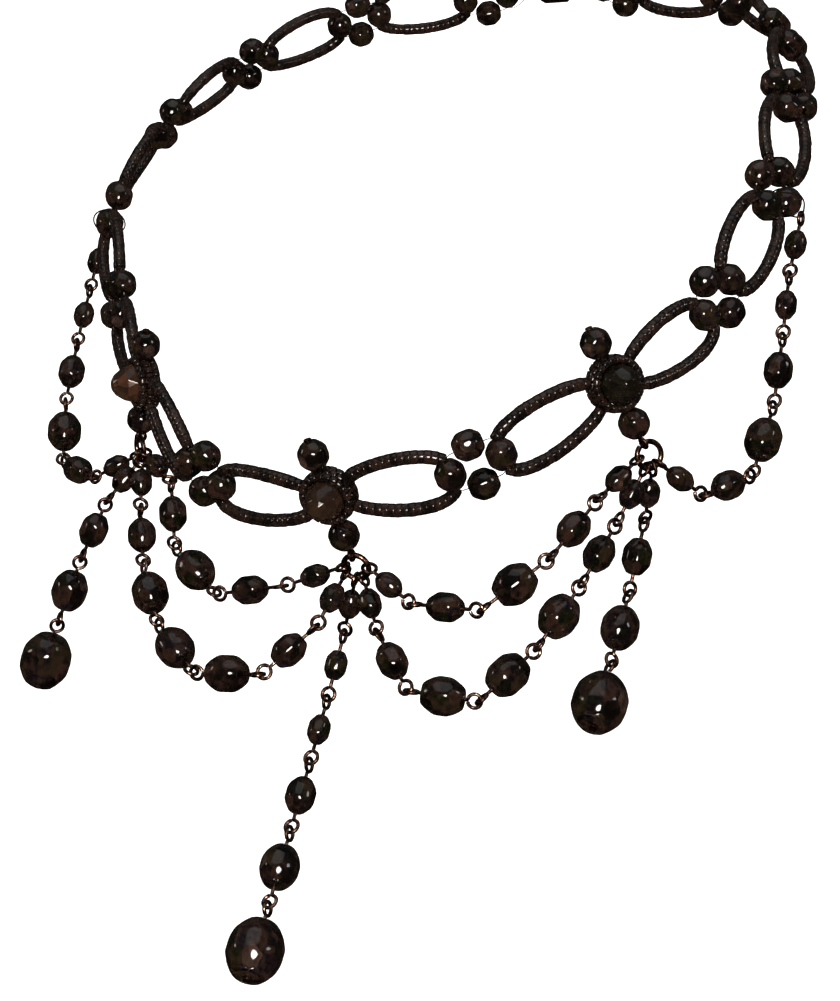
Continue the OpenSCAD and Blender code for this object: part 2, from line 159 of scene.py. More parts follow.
def put(bm, form, place):
    """Adds a copy of a form at a place, with its own shift of the tint and so of the painted sheen."""
    verts, faces = len(bm.verts), len(bm.faces)
    bm.from_mesh(form)
    bm.verts.ensure_lookup_table()
    bmesh.ops.transform(bm, matrix=place, verts=bm.verts[verts:])
    tint = bm.faces.layers.float.get("facet_tint") or bm.faces.layers.float.new("facet_tint")
    bm.faces.ensure_lookup_table()
    shift = chance.random()
    for f in bm.faces[faces:]:
        f[tint] = (f[tint] + shift) % 1


def srgb(colour):
    """A hex colour as linear RGBA."""
    parts = [int(colour[i:i + 2], 16) / 255 for i in (1, 3, 5)]
    return [c / 12.92 if c <= 0.04045 else ((c + 0.055) / 1.055) ** 2.4 for c in parts] + [1]


def add_node(tree, kind, settings=None, inputs=None, stops=None):
    """Adds a node with its settings, its inputs (values, or outputs to link) and a ramp's colour stops."""
    node = tree.nodes.new(kind)
    for key, value in (settings or {}).items():
        setattr(node, key, value)
    for key, value in (inputs or {}).items():
        if isinstance(value, bpy.types.NodeSocket):
            tree.links.new(value, node.inputs[key])
        else:
            node.inputs[key].default_value = value
    if stops:
        ramp = node.color_ramp.elements
        while len(ramp) < len(stops):
            ramp.new(1)
        for element, (position, colour) in zip(ramp, stops):
            element.position, element.color = position, srgb(colour)
    return node


def blank_material(name):
    """A new material and its empty node tree."""
    material = bpy.data.materials.new(name)
    material.use_nodes = True
    material.node_tree.nodes.clear()
    return material, material.node_tree


def tone_and_painted_sheen(tree, facet_share, noise, noise_share, start, stops):
    """A colour from a ramp, by the tint of each facet or bead and by a noise, each with its share."""
    facet = add_node(tree, "ShaderNodeAttribute", {"attribute_name": "facet_tint"})
    by_facet = add_node(tree, "ShaderNodeMath", {"operation": "MULTIPLY_ADD"},
                        {0: facet.outputs["Fac"], 1: facet_share, 2: start})
    by_both = add_node(tree, "ShaderNodeMath", {"operation": "MULTIPLY_ADD"},
                       {0: noise.outputs["Fac"], 1: noise_share, 2: by_facet.outputs[0]})
    ramp = add_node(tree, "ShaderNodeValToRGB", inputs={"Fac": by_both.outputs[0]}, stops=stops)
    return ramp.outputs["Color"]


# Jet glass, pressed and fire polished: glossy near-black. Its colour goes brown, bottle green or violet from
# facet
# to facet: in part the glass's own tone, in part painted sheen that stands for the reflections of a thin coat
# on the glass. The melted surface is a little wavy, which breaks the highlights up.
jet_glass, tree = blank_material("jet_glass_fire_polished")
PAINTED_SHEEN_PATCH = 1.8
WAVE = 1.4
WAVE_DEPTH = 0.05
place_on = add_node(tree, "ShaderNodeTexCoord").outputs["Object"]
patches = add_node(tree, "ShaderNodeTexNoise", inputs={
    "Vector": place_on, "Scale": 1 / (PAINTED_SHEEN_PATCH * MM), "Detail": 2.5, "Roughness": 0.5})
colour = tone_and_painted_sheen(tree, 0.62, patches, 0.44, -0.03, [
    (0.14, "#010101"), (0.26, "#070504"), (0.37, "#20140f"), (0.46, "#040303"), (0.54, "#090a04"),
    (0.63, "#1b130b"), (0.73, "#060407"), (0.88, "#2e211a")])
waves = add_node(tree, "ShaderNodeTexNoise", inputs={
    "Vector": place_on, "Scale": 1 / (WAVE * MM), "Detail": 2.0})
wavy = add_node(tree, "ShaderNodeBump", inputs={
    "Strength": 0.2, "Distance": WAVE_DEPTH * MM, "Height": waves.outputs["Fac"]})
gloss = add_node(tree, "ShaderNodeMapRange", inputs={
    "Value": patches.outputs["Fac"], "To Min": 0.04, "To Max": 0.12})
shader = add_node(tree, "ShaderNodeBsdfPrincipled", inputs={
    "Base Color": colour, "Roughness": gloss.outputs["Result"], "IOR": 1.52,
    "Normal": wavy.outputs["Normal"]})
add_node(tree, "ShaderNodeOutputMaterial", inputs={"Surface": shader.outputs[0]})


def stand_in(name, mesh, material, nodes):
    """Puts a finished mesh into the scene in its real material, where it stands for its CAD nodes."""
    mesh.materials.clear()
    mesh.materials.append(material)
    piece = bpy.data.objects.new(name, mesh)
    bpy.context.scene.collection.objects.link(piece)
    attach(piece, "root")
    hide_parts(*nodes)


def finish_piece(bm, name, material, slot, *nodes):
    """Brings a piece to metres and puts it into the scene."""
    bmesh.ops.scale(bm, vec=(MM, MM, MM), verts=bm.verts)
    mesh = bpy.data.meshes.new(name)
    bm.to_mesh(mesh)
    bm.free()
    stand_in(name, mesh, material, nodes)


def any_turn():
    return Matrix.Rotation(chance.uniform(0, 2 * math.pi), 4, "Z")


# A row of facets round the middle and one towards each hole, turned half a facet
SMALL_CUT = [(0, 0.924, 0), (38, 0.99, 0.5)]
cross_form = cut_bead(*CROSS_BEAD, SMALL_CUT)
ALONG_Y = Matrix.Rotation(-math.pi / 2, 4, "X")
ALONG_X = Matrix.Rotation(math.pi / 2, 4, "Y")
for number, k in enumerate(CROSSES, 1):
    bm = bmesh.new()
    for side in (-1, 1):
        put(bm, cross_form, station(k) @ Matrix.Translation(X * side * CROSS_X) @ ALONG_Y @ any_turn())
        put(bm, cross_form, station(k) @ Matrix.Translation(Y * side * CROSS_Y) @ ALONG_X @ any_turn())
    finish_piece(bm, f"cross_beads_{number:02d}", jet_glass, "jet_glass", f"cross_{number:02d}")

# Thread of the crosses: black braided nylon, waxed, so it is dull and nearly black. It goes through the holes
# of the four beads in a ring and shows only between them, and in the two ties to the clasp.
THREAD_SHOWN = 0.17  # thinner than its solid, as it is where it is pulled tight
THREAD_IN = 0.24  # off the middle of the holes, towards the middle of the cross
TIE_AT = 5.16  # from the middle of the clasp to its eyes
PLAIT = 0.35
PLAIT_DEPTH = 0.03
WIRE_ROUNDING = 2  # gives it eight sides
THREADS = {"left": range(0, 6), "front": (7, 9), "right": range(11, 17)}

thread, tree = blank_material("beading_thread_braided")
place_on = add_node(tree, "ShaderNodeTexCoord").outputs["Object"]
plait = add_node(tree, "ShaderNodeTexNoise", inputs={
    "Vector": place_on, "Scale": 1 / (PLAIT * MM), "Detail": 2.0})
dye = add_node(tree, "ShaderNodeValToRGB", inputs={"Fac": plait.outputs["Fac"]},
               stops=[(0.3, "#050405"), (0.75, "#100d0d")])
ribs = add_node(tree, "ShaderNodeBump", inputs={
    "Strength": 0.6, "Distance": PLAIT_DEPTH * MM, "Height": plait.outputs["Fac"]})
shader = add_node(tree, "ShaderNodeBsdfPrincipled", inputs={
    "Base Color": dye.outputs["Color"], "Roughness": 0.8, "Specular IOR Level": 0.2,
    "Normal": ribs.outputs["Normal"]})
add_node(tree, "ShaderNodeOutputMaterial", inputs={"Surface": shader.outputs[0]})


def bend_wires(name, lines, thickness, material, slot, *nodes):
    """Round wire or thread along each line of points, with closed ends, as one piece."""
    curve = bpy.data.curves.new(name, "CURVE")
    curve.dimensions = "3D"
    curve.bevel_depth = thickness / 2 * MM
    curve.bevel_resolution = WIRE_ROUNDING
    curve.use_fill_caps = True
    for line in lines:
        spline = curve.splines.new("POLY")
        spline.points.add(len(line) - 1)
        for point, at in zip(spline.points, line):
            point.co = (*(at * MM), 1)
    bent = bpy.data.objects.new(name + "_line", curve)
    bpy.context.scene.collection.objects.link(bent)
    bpy.context.view_layer.update()
    mesh = bpy.data.meshes.new_from_object(bent)
    bpy.data.objects.remove(bent)
    bpy.data.curves.remove(curve)
    mesh.name = name
    for f in mesh.polygons:
        f.use_smooth = True
    stand_in(name, mesh, material, nodes)


def thread_quarter(x, y, half):
    """Quarter of a cross's thread, out of the end bead and over the corner to the middle of the upper one.

    The two bends on the way stand a few tenths of a millimetre clear of the holes' rims."""
    return [(x, 0), (x, half), (x - 0.1, half + 0.3), (half + 0.75, y - 0.06), (half, y), (0, y)]


def cross_thread(k):
    quarter = thread_quarter(CROSS_X - THREAD_IN, CROSS_Y - THREAD_IN, CROSS_BEAD[1] / 2)
    ring = [(x, y) for x, y in quarter[:-1]] + [(-x, y) for x, y in quarter[:0:-1]]
    ring += [(-x, -y) for x, y in quarter[:-1]] + [(x, -y) for x, y in quarter[:0:-1]]
    return [station(k) @ Vector((x, y, 0)) for x, y in ring + ring[:1]]


def clasp_tie(k):
    """Thread from the last bead of the band to the clasp's eye and back: it leaves the hole, bends over the
    rim and then runs in to the eye."""
    side, up, half = (-1 if k == 0 else 1), station(k).col[1].to_3d(), CROSS_BEAD[1] / 2
    start = station(k) @ Vector((side * (CROSS_X + THREAD_IN), 0, 0))
    eye = CLASP_AT + X * side * TIE_AT
    u, length = (eye - start).normalized(), (eye - start).length
    there = [(0, 0), (0, half), (0.12, half + 0.4), (0.6, half + 0.5), (0.35 * length, half + 0.1),
             (0.7 * length, half / 2), (0.93 * length, half / 5), (length, 0)]
    ring = there + [(x, -y) for x, y in there[-2:0:-1]] + there[:1]
    return [start + u * x + up * y for x, y in ring]


for part, crosses in THREADS.items():
    ties = [clasp_tie(k) for k in crosses if k in (0, len(STATIONS) - 1)]
    lines = [cross_thread(k) for k in crosses] + ties
    bend_wires(f"beading_thread_{part}", lines, THREAD_SHOWN, thread, "thread", f"threads_{part}")

# Strands of seed beads. Two strings of small round glass beads leave each cross or medallion and make the
# upper and the lower side of an oval. The beads are cut from glass cane and tumbled round.
SEED_D = 2.16
SEED_L = 1.2
SEED_PITCH = 1.06  # less than their length: on a tight string they are drawn pressed into each other
SEED_HOLE = 0.7
SEED_SIDES = 10
END_SEED = 0.92  # size of the seed beads next to a cross or medallion, which are drawn a little sunk into it
BEZEL_W = 9.0
BEZEL_SLOPE = 30  # degrees round the bezel, where a strand leaves it
BEZEL_PULL = 4
CROSS_PULL = (2.8, 3)
OUT_OF_HOLE = 0.05
STRAND_STEPS = 40
STRANDS = {"left": range(0, 6), "front": range(6, 10), "right": range(10, 16)}


def seed_bead(width, length, hole):
    """A round bead, full at the middle, with its rims tumbled off: half its section spun round the hole."""
    r, h = width / 2, length / 2
    section = [(hole / 2, -0.85 * h), (0.955 * r, -h), (r, -0.55 * h), (r, 0.55 * h), (0.955 * r, h),
               (hole / 2, 0.85 * h)]
    bm = bmesh.new()
    corners = [bm.verts.new((x, 0, z)) for x, z in section]
    for a, b in zip(corners, corners[1:] + corners[:1]):
        bm.edges.new((a, b))
    bmesh.ops.spin(bm, geom=bm.verts[:] + bm.edges[:], axis=Z, cent=(0, 0, 0), angle=2 * math.pi,
                   steps=SEED_SIDES, use_merge=True)
    bmesh.ops.recalc_face_normals(bm, faces=bm.faces)
    for f in bm.faces:
        f.smooth = True
    mesh = bpy.data.meshes.new("seed_form")
    bm.to_mesh(mesh)
    bm.free()
    return mesh


def strand_end(k, s, v):
    """Where a strand comes out of its medallion or of its cross bead's hole, and the pull of its curve.

    s is the way along the band, v is 1 for the upper strand and -1 for the lower."""
    slope = math.radians(BEZEL_SLOPE)
    if k in MEDALLIONS.values():
        ray = Vector((s * math.cos(slope), v * math.sin(slope), 0))
        return BEZEL_W / 2 * ray, (BEZEL_W / 2 + BEZEL_PULL) * ray
    mouth = Vector((s * CROSS_X, v * (CROSS_BEAD[1] / 2 + OUT_OF_HOLE), 0))
    return mouth, mouth + Vector((s * CROSS_PULL[0], v * CROSS_PULL[1], 0))


def bezier(c, t):
    return (1 - t) ** 3 * c[0] + 3 * t * (1 - t) ** 2 * c[1] + 3 * t * t * (1 - t) * c[2] + t ** 3 * c[3]


def along_curve(points, share):
    """The point at a share of the whole length of a line of points, and the line's direction there."""
    lengths = [(b - a).length for a, b in zip(points, points[1:])]
    left = share * sum(lengths)
    for i, length in enumerate(lengths):
        if left <= length or i == len(lengths) - 1:
            break
        left -= length
    run = points[i + 1] - points[i]
    return points[i] + run * (left / length), run.normalized()


def square_to(v, u):
    """The part of v that is square to u, as a direction."""
    return (v - v.dot(u) * u).normalized()


def strand(k, v):
    """Points of one strand, from station k to the next."""
    (a, pull_a), (b, pull_b) = strand_end(k, 1, v), strand_end(k + 1, -1, v)
    c = [station(k) @ a, station(k) @ pull_a, station(k + 1) @ pull_b, station(k + 1) @ b]
    return [bezier(c, i / STRAND_STEPS) for i in range(STRAND_STEPS + 1)]


# Seed glass: the same black glass, glossy and a little rougher than the cut beads, so each bead has one small
# soft glint. Its soft grey-brown, from bead to bead and in patches, is in part the glass's own tone, in part
# painted sheen.
seed_glass, tree = blank_material("seed_glass_tumbled")
SEED_SHEEN_PATCH = 1.6
UNEVEN = 0.7
UNEVEN_DEPTH = 0.06
place_on = add_node(tree, "ShaderNodeTexCoord").outputs["Object"]
seed_sheen_patches = add_node(tree, "ShaderNodeTexNoise", inputs={
    "Vector": place_on, "Scale": 1 / (SEED_SHEEN_PATCH * MM), "Detail": 2.0, "Roughness": 0.6})
colour = tone_and_painted_sheen(tree, 0.14, seed_sheen_patches, 0.5, 0.2, [
    (0.2, "#040302"), (0.34, "#110a08"), (0.46, "#070504"), (0.58, "#1c110c"), (0.7, "#070705"),
    (0.85, "#150f11")])
gloss = add_node(tree, "ShaderNodeMapRange", inputs={
    "Value": seed_sheen_patches.outputs["Fac"], "To Min": 0.1, "To Max": 0.22})
uneven = add_node(tree, "ShaderNodeTexNoise", inputs={
    "Vector": place_on, "Scale": 1 / (UNEVEN * MM), "Detail": 2.0})
melted = add_node(tree, "ShaderNodeBump", inputs={
    "Strength": 0.4, "Distance": UNEVEN_DEPTH * MM, "Height": uneven.outputs["Fac"]})
shader = add_node(tree, "ShaderNodeBsdfPrincipled", inputs={
    "Base Color": colour, "Roughness": gloss.outputs["Result"], "Specular IOR Level": 0.45, "IOR": 1.52,
    "Normal": melted.outputs["Normal"]})
add_node(tree, "ShaderNodeOutputMaterial", inputs={"Surface": shader.outputs[0]})

SEED_TILT = 4
SEED_SPREAD = 0.03


def thread_on(bm, form, at, u, out, size=1.0):
    """Puts a seed bead on its thread, never quite straight and never quite the same size."""
    side = square_to(out, u)
    lean = [Matrix.Rotation(math.radians(chance.uniform(-SEED_TILT, SEED_TILT)), 4, a) for a in "XY"]
    size += chance.uniform(-SEED_SPREAD, SEED_SPREAD)
    put(bm, form, axes(side, u.cross(side), u, at) @ lean[0] @ lean[1] @ any_turn() @ Matrix.Scale(size, 4))


seed_form = seed_bead(SEED_D, SEED_L, SEED_HOLE)
for part, spans in STRANDS.items():
    bm = bmesh.new()
    for k in spans:
        for v in (-1, 1):
            line = strand(k, v)
            length = sum((b - a).length for a, b in zip(line, line[1:]))
            count = math.ceil(length / SEED_PITCH)
            for i in range(count):
                at, u = along_curve(line, (i + 0.5) / count)
                size = END_SEED if i in (0, count - 1) else 1.0
                thread_on(bm, seed_form, at, u, station(k).col[2].to_3d(), size)
    finish_piece(bm, f"seed_strands_{part}", seed_glass, "seed_glass", f"strands_{part}")

# Medallions. Each is a domed stone of cut black glass, held by rows of seed beads that are woven round it,
# with a fire-polished bead above and below it.
BEZEL_ROWS = [(-1.2, 3.78, 1.3), (0, 3.86, 1.34), (1.2, 3.74, 1.3)]  # height, radius, width of the seed beads
BEZEL_SEED_L = 1.0
BEZEL_SEED_HOLE = 0.5
BEZEL_SEED_GAP = 0.06
EDGE_BEAD = (5.0, 4.6)
GAP = 0.12
EDGE_Y = BEZEL_W / 2 + GAP + EDGE_BEAD[1] / 2
STONE_EDGE = 0.09
STONE_TINT = {"left": 0.68, "center": 0.5, "right": 0.15}  # the left stone is the brownest
STONE_TINT_SPREAD = 0.12
SAME_POINT = 0.005
SAME_FACET = 2  # degrees
STONE_KEEN = 5  # degrees
DEPTH_PATCH = 3

# Cut glass stone: polished flat facets of warm black-brown, smoother and more mirror-like than the beads
stone_glass, tree = blank_material("cut_glass_polished")
place_on = add_node(tree, "ShaderNodeTexCoord").outputs["Object"]
depth = add_node(tree, "ShaderNodeTexNoise", inputs={
    "Vector": place_on, "Scale": 1 / (DEPTH_PATCH * MM), "Detail": 2.0})
colour = tone_and_painted_sheen(tree, 0.8, depth, 0.2, 0.0, [
    (0.1, "#070604"), (0.3, "#100d08"), (0.5, "#1a100c"), (0.6, "#1e150d"), (0.72, "#331e14"),
    (0.85, "#4c2e1e")])
shader = add_node(tree, "ShaderNodeBsdfPrincipled", inputs={
    "Base Color": colour, "Roughness": 0.07, "IOR": 1.56, "Specular IOR Level": 0.35})
add_node(tree, "ShaderNodeOutputMaterial", inputs={"Surface": shader.outputs[0]})

edge_form = cut_bead(*EDGE_BEAD, SMALL_CUT)
for side, k in MEDALLIONS.items():
    # The stone keeps the facets of its solid; polishing takes the keenness off their edges
    bm = bmesh.new()
    bm.from_mesh(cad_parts[f"stone_{side}"].data)
    bmesh.ops.scale(bm, vec=(1 / MM,) * 3, verts=bm.verts)
    bmesh.ops.remove_doubles(bm, verts=bm.verts, dist=SAME_POINT)
    bmesh.ops.dissolve_limit(bm, angle_limit=math.radians(SAME_FACET), verts=bm.verts, edges=bm.edges)
    sharp = [e for e in bm.edges if e.calc_face_angle(0) > math.radians(STONE_KEEN)]
    tint = bm.faces.layers.float.new("facet_tint")
    for f in bm.faces:
        f[tint] = STONE_TINT[side] + chance.uniform(-STONE_TINT_SPREAD, STONE_TINT_SPREAD)
    bmesh.ops.bevel(bm, geom=sharp, offset=STONE_EDGE, segments=2, profile=0.5, affect="EDGES", material=-1)
    finish_piece(bm, f"cut_stone_{side}", stone_glass, "stone", f"stone_{side}")

    bm = bmesh.new()
    for row, (height, radius, width) in enumerate(BEZEL_ROWS):
        form = seed_bead(width, BEZEL_SEED_L, BEZEL_SEED_HOLE)
        count = int(2 * math.pi * radius / (BEZEL_SEED_L + BEZEL_SEED_GAP))
        for i in range(count):
            a = 2 * math.pi * (i + 0.5 * (row % 2)) / count
            turned = station(k) @ Matrix.Rotation(a, 4, "Z")
            at = turned @ Vector((radius, 0, height))
            thread_on(bm, form, at, turned.col[1].to_3d(), turned.col[2].to_3d())
    finish_piece(bm, f"seed_bezel_{side}", seed_glass, "seed_glass", f"bezel_{side}")

    for name, up in (("top_bead", 1), ("bottom_bead", -1)):
        bm = bmesh.new()
        put(bm, edge_form, station(k) @ Matrix.Translation(Y * up * EDGE_Y) @ ALONG_Y @ any_turn())
        finish_piece(bm, f"cut_{name}_{side}", jet_glass, "jet_glass", f"{name}_{side}")

# Wire of the pins and rings: soft copper wire, cut, bent round pliers and darkened with liver of sulphur.
# What is left of the polish shows as pinkish brown where the wire rubs.
WIRE_D = 0.46
WIRE_SHOWN = 0.62  # as thick as it looks; at six links the eyes then press into each other, 0.04 mm at most
RING_WIRE = 0.84
RING_SHOWN = 0.9
RING_R = 2.08
RING_CUT = (112, 353)  # degrees where the ring's wire starts and how far round it goes
RING_STEPS = 40
EYE_R = 0.8
EYE_TURN = (12, 345)  # degrees where an eye's loop starts and ends
EYE_STEPS = 26
KINK = (0.35, 0.08, 0.02)  # before the loop, at the loop and sideways
PIN_EYE_Y = EDGE_Y + EDGE_BEAD[1] / 2 + GAP + WIRE_D / 2 + EYE_R
RING_Y = PIN_EYE_Y + EYE_R - WIRE_D / 2 - RING_WIRE / 2 - GAP + RING_R
PIN_TIP = EDGE_Y + EDGE_BEAD[1] / 2 + GAP
HEAD_D = 1.26
HEAD_L = 0.3
RUB = 0.55
NICK_DEPTH = 0.02

copper, tree = blank_material("copper_wire_antiqued")
place_on = add_node(tree, "ShaderNodeTexCoord").outputs["Object"]
rub = add_node(tree, "ShaderNodeTexNoise", inputs={
    "Vector": place_on, "Scale": 1 / (RUB * MM), "Detail": 4.0, "Roughness": 0.65})
patina = add_node(tree, "ShaderNodeValToRGB", inputs={"Fac": rub.outputs["Fac"]}, stops=[
    (0.35, "#110d0b"), (0.48, "#402c25"), (0.58, "#8a6656"), (0.7, "#e6c6b6")])
polish = add_node(tree, "ShaderNodeMapRange", inputs={
    "Value": rub.outputs["Fac"], "From Min": 0.3, "From Max": 0.7, "To Min": 0.42, "To Max": 0.2})
nicks = add_node(tree, "ShaderNodeBump", inputs={
    "Strength": 0.3, "Distance": NICK_DEPTH * MM, "Height": rub.outputs["Fac"]})
shader = add_node(tree, "ShaderNodeBsdfPrincipled", inputs={
    "Base Color": patina.outputs["Color"], "Metallic": 1.0, "Roughness": polish.outputs["Result"],
    "Normal": nicks.outputs["Normal"]})
add_node(tree, "ShaderNodeOutputMaterial", inputs={"Surface": shader.outputs[0]})


def eye_points(at, u, axis, radius):
    """A loop at the end of a wire that comes along u: the wire kinks off its line and goes once round."""
    side = axis.cross(u)
    start, end = EYE_TURN
    turn = [math.radians(start + (end - start) * i / EYE_STEPS) for i in range(EYE_STEPS + 1)]
    return [at - u * (radius + KINK[0]), at - u * (radius + KINK[1]) + side * KINK[2]] + [
        at - u * radius * math.cos(a) + side * radius * math.sin(a) for a in turn]


def head_points(at, u):
    """A flat head: the wire's end hammered out, drawn as one short fat length."""
    return [at, at + u * HEAD_L]


for side, k in MEDALLIONS.items():
    up = station(k).col[1].to_3d()
    across = station(k).col[0].to_3d()
    at = middle(k)
    lower = [at - up * (BEZEL_W / 2 + GAP)] + eye_points(at - up * PIN_EYE_Y, -up, across, EYE_R)
    upper = [at + up * (BEZEL_W / 2 + GAP), at + up * (PIN_TIP + WIRE_D / 2)]
    bend_wires(f"eye_pins_{side}", [lower, upper], WIRE_SHOWN, copper, "copper_wire", f"pins_{side}")
    head = head_points(at + up * PIN_TIP, up)
    bend_wires(f"pin_head_{side}", [head], HEAD_D, copper, "copper_wire", f"pins_{side}")
    turn = [math.radians(RING_CUT[0] + RING_CUT[1] * i / RING_STEPS) for i in range(RING_STEPS + 1)]
    ring = [at - up * RING_Y + RING_R * (across * math.cos(a) + up * math.sin(a)) for a in turn]
    bend_wires(f"round_ring_{side}", [ring], RING_SHOWN, copper, "copper_wire", f"jump_ring_{side}")

# Hangers: a loop of the same black thread round the lower bead of a cross. The weight of the outer swag,
# whose last eye hangs in it, pulls it to the shape of a drop. The solid already has its form.
HANGERS = {"left": 4, "right": 12}
HANGER_D = 0.3
HANGER_LOW = 6.88  # from the middle of the cross to the thread's lowest point


def dress(name, material):
    """Gives a CAD node that keeps its shape its real material."""
    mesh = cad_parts[name].data
    mesh.materials.clear()
    mesh.materials.append(material)


for side in HANGERS:
    dress(f"hanger_{side}", thread)

# Chains. The swags and drops are fire-polished beads in four sizes, each on its own eye pin. The eyes are
# linked straight into each other, and the first and last into the rings under the medallions.
SMALL, MID, LARGE, BALL = (3.7, 4.6), (4.8, 5.7), (6.2, 6.7), (8.8, 9.2)  # width, length
LARGE_CUT = [(0, 0.924, 0), (32, 0.985, 0.5), (60, 1.075, 0)]
LOOP_R = 1.05
WIRE_R = WIRE_D / 2
LOOP_SLACK = 0.2
HANGER_SLACK = 0.1
PIN_NECK = 0.5
ON_LOOP = LOOP_R - WIRE_R - LOOP_SLACK
ON_RING = LOOP_R - WIRE_R - RING_WIRE / 2 - LOOP_SLACK
ON_HANGER = LOOP_R - WIRE_R - HANGER_D / 2 - LOOP_SLACK - HANGER_SLACK
REACH = LOOP_R + WIRE_R + PIN_NECK
DROP_PULL = 0.4  # share of a drop's height that hangs straight over its ball
CURVE_STEPS = 48
LEFT, CENTER, RIGHT = MEDALLIONS.values()

# Swag: station and degrees round its ring, the same at the far end, beads, pull of the curve at each end.
# The pulls are as the swags happen to lie, so the left and right ones differ a little.
SWAGS = {
    "upper_left": (CENTER, -101, LEFT, 105, [SMALL, MID, LARGE, MID, SMALL],
                   (-44.5, -4, -16.5), (18.5, -7, -2)),
    "lower_left": (CENTER, -72, LEFT, 48, [SMALL, MID, LARGE, LARGE, LARGE, MID, SMALL],
                   (-5, -13.5, -21), (12.5, -35, -41.5)),
    "upper_right": (CENTER, 80, RIGHT, -102, [SMALL, MID, LARGE, MID, SMALL],
                    (24.5, -13, -19), (-5.5, -11, -3.5)),
    "lower_right": (CENTER, 15, RIGHT, -47, [SMALL, MID, LARGE, LARGE, LARGE, MID, SMALL],
                    (18, -24.5, -40), (-10, -4.5, -20.5)),
    "outer_left": (LEFT, -26, HANGERS["left"], 0, [SMALL, MID, LARGE, MID, SMALL, SMALL],
                   (-13.5, -1, -7), (-4.5, -24.5, -49.5)),
    "outer_right": (RIGHT, 23, HANGERS["right"], 0, [SMALL, MID, LARGE, MID, SMALL, SMALL],
                    (17.5, 17, -24), (-3.5, -6.5, -10)),
}
# Drop: station and degrees round its ring, beads, pull of the curve at the top, lowest point
DROPS = {
    "left": (LEFT, 11, [SMALL, MID, LARGE, BALL], (-4, -5, -2), (-61.5, -43, -77)),
    "center": (CENTER, -24, [SMALL, SMALL, SMALL, MID, LARGE, BALL], (-7.5, 11.5, -14), (-2, -89, -108.5)),
    "right": (RIGHT, -13, [SMALL, MID, LARGE, BALL], (-5, 12.5, -13.5), (40.5, -57, -76.5)),
}


def ring_point(k, degrees):
    a = math.radians(degrees)
    return station(k) @ Vector((RING_R * math.sin(a), -RING_Y - RING_R * math.cos(a), 0))


def ring_along(k, degrees):
    a = math.radians(degrees)
    return math.cos(a) * station(k).col[0].to_3d() + math.sin(a) * station(k).col[1].to_3d()


def start_off(i):
    """From the point where pin i meets the one before it to the middle of its own first eye."""
    return ON_RING if i == 0 else ON_LOOP


def end_off(i, beads, last):
    """The same at its far end."""
    return ON_LOOP if i < len(beads) - 1 else last


def chain_joints(curve, beads, last):
    """Where the pins of a chain meet: its curve cut in the proportion of their lengths."""
    line = [bezier(curve, i / CURVE_STEPS) for i in range(CURVE_STEPS + 1)]
    pins = [start_off(i) + 2 * REACH + bead[1] + end_off(i, beads, last) for i, bead in enumerate(beads)]
    return [along_curve(line, sum(pins[:i]) / sum(pins))[0] for i in range(len(beads) + 1)]


def pin_axes(h, i):
    """Along one pin, and outwards from the neck."""
    u = (h[i + 1] - h[i]).normalized()
    return u, square_to(Vector((h[i].x + h[i + 1].x, h[i].y + h[i + 1].y, 0)), u)


def bead_middle(h, i, beads, last):
    u, length = pin_axes(h, i)[0], (h[i + 1] - h[i]).length
    return h[i] + u * (start_off(i) + (length - start_off(i) - end_off(i, beads, last)) / 2)


chain_forms = {size: cut_bead(*size, LARGE_CUT if size in (LARGE, BALL) else SMALL_CUT)
               for size in (SMALL, MID, LARGE, BALL)}


def make_chain(name, h, beads, first_axis, last, last_axis):
    """The beads and the pins of one swag or drop. A drop's last pin ends in a flat head under its ball."""
    bm = bmesh.new()
    wires = []
    for i, size in enumerate(beads):
        u, out = pin_axes(h, i)
        at = bead_middle(h, i, beads, last)
        put(bm, chain_forms[size], axes(out, u.cross(out), u, at) @ any_turn())
        first = first_axis if i == 0 else u.cross(out)
        line = eye_points(h[i] + u * start_off(i), -u, square_to(first, u), LOOP_R)[::-1]
        if i == len(beads) - 1 and last_axis is None:
            head = at + u * (size[1] / 2 + GAP)
            line += [head + u * WIRE_R]
            bend_wires(name + "_head", [head_points(head, u)], HEAD_D, copper, "copper_wire", name + "_pins")
        else:
            turned = last_axis if i == len(beads) - 1 and last_axis != "out" else out
            line += eye_points(h[i + 1] - u * end_off(i, beads, last), u, square_to(turned, u), LOOP_R)
        wires.append(line)
    finish_piece(bm, name + "_cut_beads", jet_glass, "jet_glass", name + "_beads")
    bend_wires(name + "_eye_pins", wires, WIRE_SHOWN, copper, "copper_wire", name + "_pins")


for name, (k, a, far, b, beads, pull, far_pull) in SWAGS.items():
    start = ring_point(k, a)
    on_ring = far in MEDALLIONS.values()
    end = ring_point(far, b) if on_ring else station(far) @ Vector((0, -HANGER_LOW, 0))
    last = ON_RING if on_ring else ON_HANGER
    h = chain_joints([start, start + Vector(pull), end + Vector(far_pull), end], beads, last)
    make_chain("swag_" + name, h, beads, ring_along(k, a), last, ring_along(far, b) if on_ring else "out")

for name, (k, a, beads, pull, lowest) in DROPS.items():
    start, end = ring_point(k, a), Vector(lowest)
    high = start + Vector(pull)
    h = chain_joints([start, high, end + DROP_PULL * (high - end), end], beads, -REACH)
    make_chain("drop_" + name, h, beads, ring_along(k, a), -REACH, None)

# Clasp: a plain turned barrel of the same darkened copper, with an eye soldered to each end for the ties.
# Its solid has the whole form, so it only takes its material.
dress("clasp", copper)

